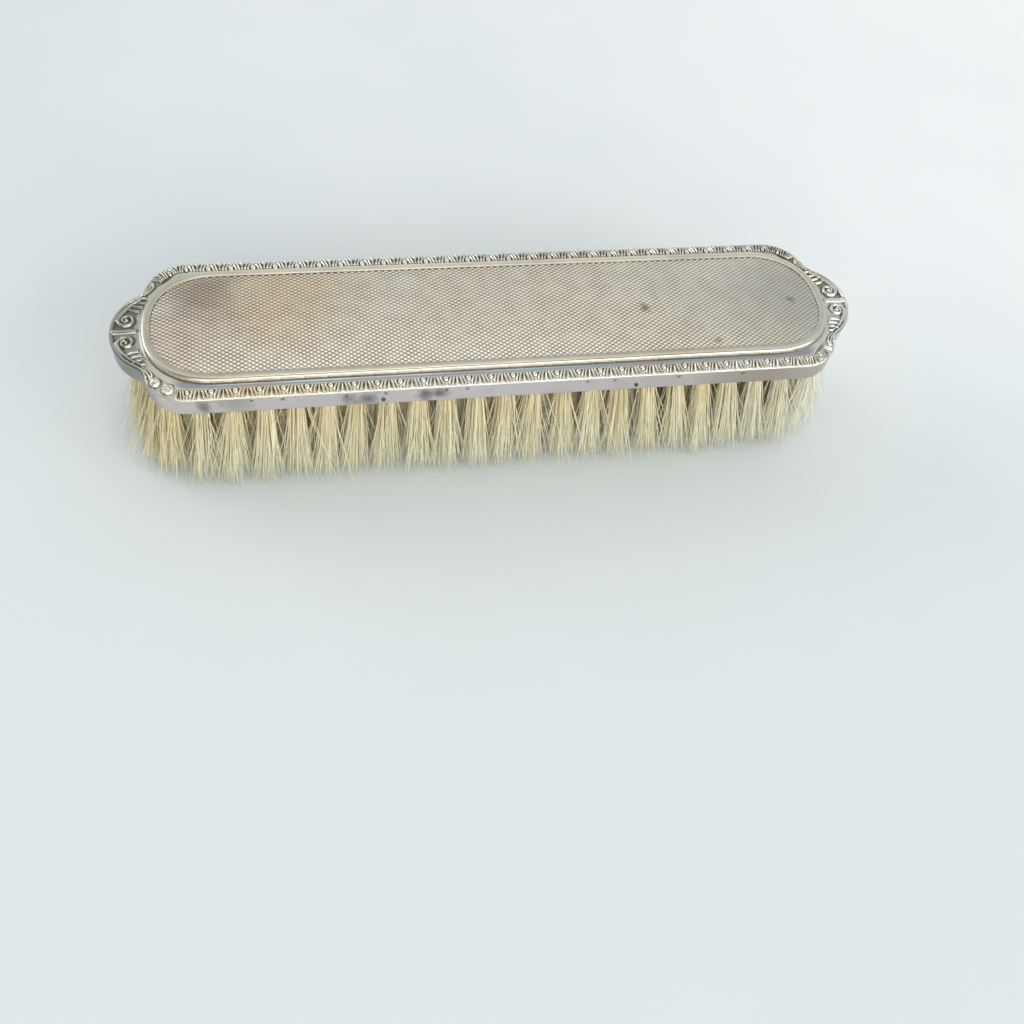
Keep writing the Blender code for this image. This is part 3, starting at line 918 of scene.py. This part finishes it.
def field_look():
    """The silver of the engine-turned field: brown in the cuts, with a golden bloom to the left."""
    gold = srgb(240, 216, 166)
    rose = srgb(240, 214, 200)
    grey = srgb(204, 204, 198)
    blooms = (
        ((-50, 7, FIELD_CROWN_Z), 30, gold, 0.6),
        ((-72, -3, FIELD_CROWN_Z), 17, rose, 0.6),
        ((-68, 9, FIELD_CROWN_Z), 16, srgb(150, 130, 116), 0.6),
        ((72, 0, FIELD_CROWN_Z), 36, grey, 0.9),
        ((34.6, -1.5, FIELD_CROWN_Z), 2.4, srgb(120, 112, 104), 0.8),
        ((50, -12.6, FIELD_CROWN_Z), 1.6, srgb(116, 106, 96), 0.9),
        ((71.7, -0.8, FIELD_CROWN_Z), 1.6, srgb(116, 108, 98), 0.9),
        ((-70.9, 12.3, FIELD_CROWN_Z), 1.4, srgb(214, 206, 90), 0.8),
    )
    patina = srgb(128, 108, 88)
    stains = (
        ((-74, 0, FIELD_CROWN_Z), 34, srgb(100, 82, 68)),
        ((78, 0, FIELD_CROWN_Z), 52, srgb(158, 150, 130)),
    )
    bright = srgb(252, 248, 236)
    tarnish = srgb(246, 237, 218)
    return silver_look(
        "silver_engine_turned", bright, tarnish, patina, 0.24, 1.24, 0.0, blooms, stains=stains
    )


def skirt_look():
    """The plain silver of the upright rim, with smudges and dull streaks."""
    smudge = srgb(118, 112, 108)
    dull = srgb(150, 148, 140)
    wall = -HALF_WIDTH
    height = (SKIRT_BOTTOM_Z + LIP_Z) / 2
    blooms = (
        ((-86, -6, height), 20, srgb(132, 134, 128), 1.0),
        ((-81, -15, height - 1), 7, srgb(96, 96, 94), 0.8),
        ((84, -14, height), 20, srgb(212, 210, 202), 0.9),
        ((60, wall, height), 26, srgb(178, 166, 150), 0.9),
        ((-20, wall, height), 3.4, smudge, 0.9),
        ((-17, wall, height), 2.6, smudge, 0.9),
        ((-32.6, wall, height - 0.4), 3.6, smudge, 0.8),
        ((-37, wall, height), 3.4, smudge, 0.6),
        ((-67.7, wall, height - 0.4), 3.0, smudge, 0.8),
        ((-61, wall, height + 1), 6, dull, 0.5),
    )
    speck = srgb(60, 54, 50)
    speck_places = (-57.6, -51, -37.3, -28.7, -15.2, -10.5, 17.3, 23.7, 39, 54.7)
    blooms += tuple(((x, wall, height + 1.1), 0.75, speck, 0.9) for x in speck_places)
    patina = srgb(80, 74, 68)
    return silver_look(
        "silver_skirt", srgb(222, 214, 215), srgb(204, 195, 188), patina, 0.24, 0.9, 0.3, blooms
    )


def bristle_look():
    """Bleached boar bristle: tan near the board and pale towards the tips; painted light makes them paler to
    the right and painted shade darker at the left end.
    """
    look = Look("boar_bristle", Roughness=0.5, Specular_IOR_Level=0.3)
    down = look.value("down")
    pale = look.mix(look.between(down, 0.0, 0.75), srgb(251, 234, 186), srgb(252, 249, 220))
    # Painted light: paler to the right. Painted shade: tan and darker at the left end.
    pale = look.mix(look.math("MULTIPLY", look.near((84, -14, 14), 60), 0.9), pale, srgb(252, 254, 242))
    pale = look.mix(look.math("MULTIPLY", look.near((-88, -10, 14), 30), 0.8), pale, srgb(234, 218, 172))
    tint = look.value("tint")
    tan = look.mix(look.between(tint, 0.55, 1.0, 0.0, 0.6), pale, srgb(240, 220, 168))
    cream = look.mix(look.between(tint, 0.45, 0.0, 0.0, 0.6), tan, srgb(255, 253, 232))
    streak = look.noise(300.0, 2.0, 0.5, 0.0, look.scaled((1.0, 1.0, 0.15)))
    look.drive("Base Color", look.mix(look.between(streak, 0.5, 0.75, 0.0, 0.2), cream, srgb(226, 210, 164)))
    look.drive("Roughness", look.between(streak, 0.3, 0.7, 0.42, 0.58))
    return look.material


def stray_look():
    look = Look("dark_stray_hair", Roughness=0.5)
    tone = look.noise(200.0)
    look.drive("Base Color", look.mix(tone, srgb(70, 62, 52), srgb(120, 108, 90)))
    return look.material


def wood_look(name, light, dark):
    """Close-grained beech with darker rays along the board."""
    look = Look(name, Roughness=0.6)
    grain = look.noise(90.0, 6.0, 0.6, 0.6, look.scaled((0.12, 1.6, 1.6)))
    pores = look.noise(700.0, 3.0, 0.5, 0.0, look.scaled((0.2, 3.0, 3.0)))
    wood = look.mix(look.between(grain, 0.35, 0.65), light, dark)
    look.drive("Base Color", look.mix(look.between(pores, 0.55, 0.7, 0.0, 0.6), wood, dark))
    look.drive("Roughness", look.between(pores, 0.3, 0.7, 0.5, 0.75))
    look.bump(pores, 0.3, 0.08)
    return look.material


def brass_look():
    look = Look("drawn_brass", Metallic=1.0)
    dull = look.noise(400.0, 4.0, 0.6)
    look.drive("Base Color", look.mix(look.between(dull, 0.4, 0.7), srgb(222, 190, 112), srgb(150, 112, 60)))
    look.drive("Roughness", look.between(dull, 0.3, 0.7, 0.25, 0.5))
    return look.material


def pitch_look():
    look = Look("setting_pitch")
    lumps = look.noise(160.0, 5.0, 0.6)
    look.drive("Base Color", look.mix(lumps, srgb(28, 20, 14), srgb(66, 48, 34)))
    look.drive("Roughness", look.between(lumps, 0.3, 0.7, 0.45, 0.85))
    look.bump(lumps, 0.5, 0.3)
    return look.material


def floor_look():
    look = Look("pale_paper", Roughness=0.85)
    fibres = look.noise(25.0, 4.0, 0.6)
    paper = look.mix(fibres, FLOOR_COLOURS[0], FLOOR_COLOURS[1])
    # Lighter towards the rear right: a painted pool of light on the paper.
    look.drive("Base Color", look.mix(look.near((260, 240, 0), 440), paper, srgb(250, 254, 255)))
    return look.material


# ---- Stage ----

CAMERA_AZIMUTH = radians(-18.765)
CAMERA_ELEVATION = radians(55.828)
CAMERA_ROLL = radians(11.238)
CAMERA_DISTANCE = 265.43
CAMERA_TARGET = (0.816, -34.043, 0.0)
CAMERA_LENS = 38.56
FLOOR_HALF_SIZE = 3.0
FLOOR_COLOURS = (srgb(226, 233, 235), srgb(230, 237, 240))

# The sky's colour by height above the horizon, and how it dims towards the camera: the cosines of
# the angle to the camera between which it goes from full strength to the dimmed one.
SKY_COLOURS = (
    (0.0001, (0.58, 0.63, 0.66)),
    (0.2, (0.6, 0.65, 0.68)),
    (0.5, (0.66, 0.69, 0.7)),
    (0.8, (0.78, 0.79, 0.78)),
    (0.9999, (0.98, 0.98, 0.95)),
)
SKY_DIMMING = (0.55, 0.97)
SKY_STRENGTHS = (1.0, 0.3)

# Softboxes: name, place and side in metres, and power in watts.
SOFTBOXES = (
    ("overhead", (0.1, 0.0, 2.2), 0.7, 2.6, (1.0, 1.0, 0.99)),
    ("right", (2.1, -1.9, 0.9), 2.5, 37.0),
    ("front", (-0.1, -2.6, 1.1), 3.1, 46.0),
    ("left", (-2.2, 1.5, 1.15), 1.6, 14.0),
)


def add_camera():
    """The camera, aimed by its azimuth, elevation and roll. Returns the direction from the brush to it."""
    back = Vector(
        (
            sin(CAMERA_AZIMUTH) * cos(CAMERA_ELEVATION),
            -cos(CAMERA_AZIMUTH) * cos(CAMERA_ELEVATION),
            sin(CAMERA_ELEVATION),
        )
    )
    right = Vector((cos(CAMERA_AZIMUTH), sin(CAMERA_AZIMUTH), 0.0))
    up = back.cross(right)
    rolled_right = cos(CAMERA_ROLL) * right + sin(CAMERA_ROLL) * up
    rolled_up = cos(CAMERA_ROLL) * up - sin(CAMERA_ROLL) * right
    data = bpy.data.cameras.new("camera")
    data.lens = CAMERA_LENS
    data.clip_start = 0.01
    camera = bpy.data.objects.new("camera", data)
    bpy.context.scene.collection.objects.link(camera)
    turn = Matrix((rolled_right, rolled_up, back)).transposed().to_4x4()
    place = (Vector(CAMERA_TARGET) + back * CAMERA_DISTANCE) * MM
    camera.matrix_world = Matrix.Translation(place) @ turn
    bpy.context.scene.camera = camera
    return back


def add_floor():
    """A plain sheet of pale paper, in metres."""
    mesh = bpy.data.meshes.new("floor")
    corners = [(x * FLOOR_HALF_SIZE, y * FLOOR_HALF_SIZE, 0) for x, y in ((-1, -1), (1, -1), (1, 1), (-1, 1))]
    mesh.from_pydata(corners, [], [(0, 1, 2, 3)])
    mesh.materials.append(floor_look())
    floor = bpy.data.objects.new("floor", mesh)
    bpy.context.scene.collection.objects.link(floor)


def add_softbox(name, place, size, power, colour=(1.0, 0.99, 0.97)):
    """A square area light that faces the brush."""
    data = bpy.data.lights.new(name, "AREA")
    data.size = size
    data.energy = power
    data.color = colour
    light = bpy.data.objects.new(name, data)
    bpy.context.scene.collection.objects.link(light)
    light.location = place
    light.rotation_mode = "QUATERNION"
    light.rotation_quaternion = Vector(place).to_track_quat("Z", "Y")


def add_sky(camera_side):
    """A white tent: brightest overhead, bluish low down, and dim where the camera stands."""
    world = bpy.data.worlds.new("tent")
    world.use_nodes = True
    bpy.context.scene.world = world
    nodes, links = world.node_tree.nodes, world.node_tree.links
    place = nodes.new("ShaderNodeTexCoord")
    toward = nodes.new("ShaderNodeVectorMath")
    toward.operation = "DOT_PRODUCT"
    toward.inputs[1].default_value = camera_side
    links.new(place.outputs["Generated"], toward.inputs[0])
    shade = nodes.new("ShaderNodeMapRange")
    shade.interpolation_type = "SMOOTHSTEP"
    for index, number in enumerate(SKY_DIMMING + SKY_STRENGTHS, start=1):
        shade.inputs[index].default_value = number
    links.new(toward.outputs["Value"], shade.inputs[0])
    split = nodes.new("ShaderNodeSeparateXYZ")
    links.new(place.outputs["Generated"], split.inputs[0])
    ramp = nodes.new("ShaderNodeValToRGB")
    for position, colour in SKY_COLOURS:
        stop = ramp.color_ramp.elements.new(position)
        stop.color = (*colour, 1)
    ramp.color_ramp.elements.remove(ramp.color_ramp.elements[0])
    ramp.color_ramp.elements.remove(ramp.color_ramp.elements[-1])
    links.new(split.outputs["Z"], ramp.inputs["Fac"])
    background = nodes["Background"]
    links.new(ramp.outputs["Color"], background.inputs["Color"])
    links.new(shade.outputs[0], background.inputs["Strength"])


def silver_back():
    """The four silver pieces that take the place of the plain back, and the sprigs."""
    brown = srgb(106, 100, 84)
    border_blooms = (
        ((-54, -19, LIP_Z), 30, srgb(246, 232, 198), 0.6),
        ((-88, 0, LIP_Z), 26, srgb(168, 173, 164), 1.0),
        ((86, -6, LIP_Z), 26, srgb(222, 226, 220), 0.9),
        ((20, HALF_WIDTH, LIP_Z), 40, srgb(206, 202, 190), 0.7),
        ((70, HALF_WIDTH, LIP_Z), 32, srgb(196, 192, 182), 0.8),
    )
    frame_blooms = [((84, -6, FRAME_TOP_Z), 42, srgb(216, 216, 203), 0.9)]
    for x in (-50, -12, 26, 64):
        frame_blooms.append(((x, 24, FRAME_TOP_Z), 34, srgb(254, 247, 228), 1.0))
    # The two colours of the cove's painted floor reflection.
    cove_reflections = (srgb(158, 170, 172), srgb(162, 156, 165))
    bright = srgb(240, 237, 226)
    tarnish = srgb(228, 222, 206)
    embossed = silver_look("silver_embossed", bright, tarnish, brown, 0.24, 0.9, 0.12, border_blooms, cove_reflections)
    relief_border(embossed)
    bright = srgb(218, 213, 198)
    tarnish = srgb(206, 197, 176)
    frame_moulding(silver_look("silver_frame", bright, tarnish, brown, 0.2, 0.8, 0.12, frame_blooms))
    pinned = silver_look("silver_pin", srgb(104, 98, 92), srgb(84, 78, 72), brown, 0.4, 0.9)
    skirt_wall(skirt_look())
    engraved_field(field_look())
    for side in ("front_left", "front_right", "rear_left", "rear_right", "left_end", "right_end"):
        sprig(f"sprig_{side}", pinned)


def bristles():
    """The rows of tufts as strands, and the stray hairs."""
    bristle = bristle_look()
    for row in range(ROWS):
        tuft_row(row, bristle)
    stray_hairs(stray_look())


def finish_kept_nodes():
    """Materials for the nodes of the frame that stay as they are."""
    finishes = {
        "bristle_board": wood_look("beech_board", srgb(208, 172, 124), srgb(166, 126, 84)),
        "cover_board": wood_look("beech_cover", srgb(190, 150, 106), srgb(150, 110, 70)),
        "pitch_filling": pitch_look(),
    }
    brass = brass_look()
    for row in range(ROWS):
        finishes[f"drawing_wire_{row + 1}"] = brass
    for node, finish in finishes.items():
        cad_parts[node].data.materials.clear()
        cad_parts[node].data.materials.append(finish)


def main():
    silver_back()
    bristles()
    finish_kept_nodes()
    bpy.context.scene.view_settings.view_transform = "Standard"
    add_floor()
    add_sky(add_camera())
    for softbox in SOFTBOXES:
        add_softbox(*softbox)


main()
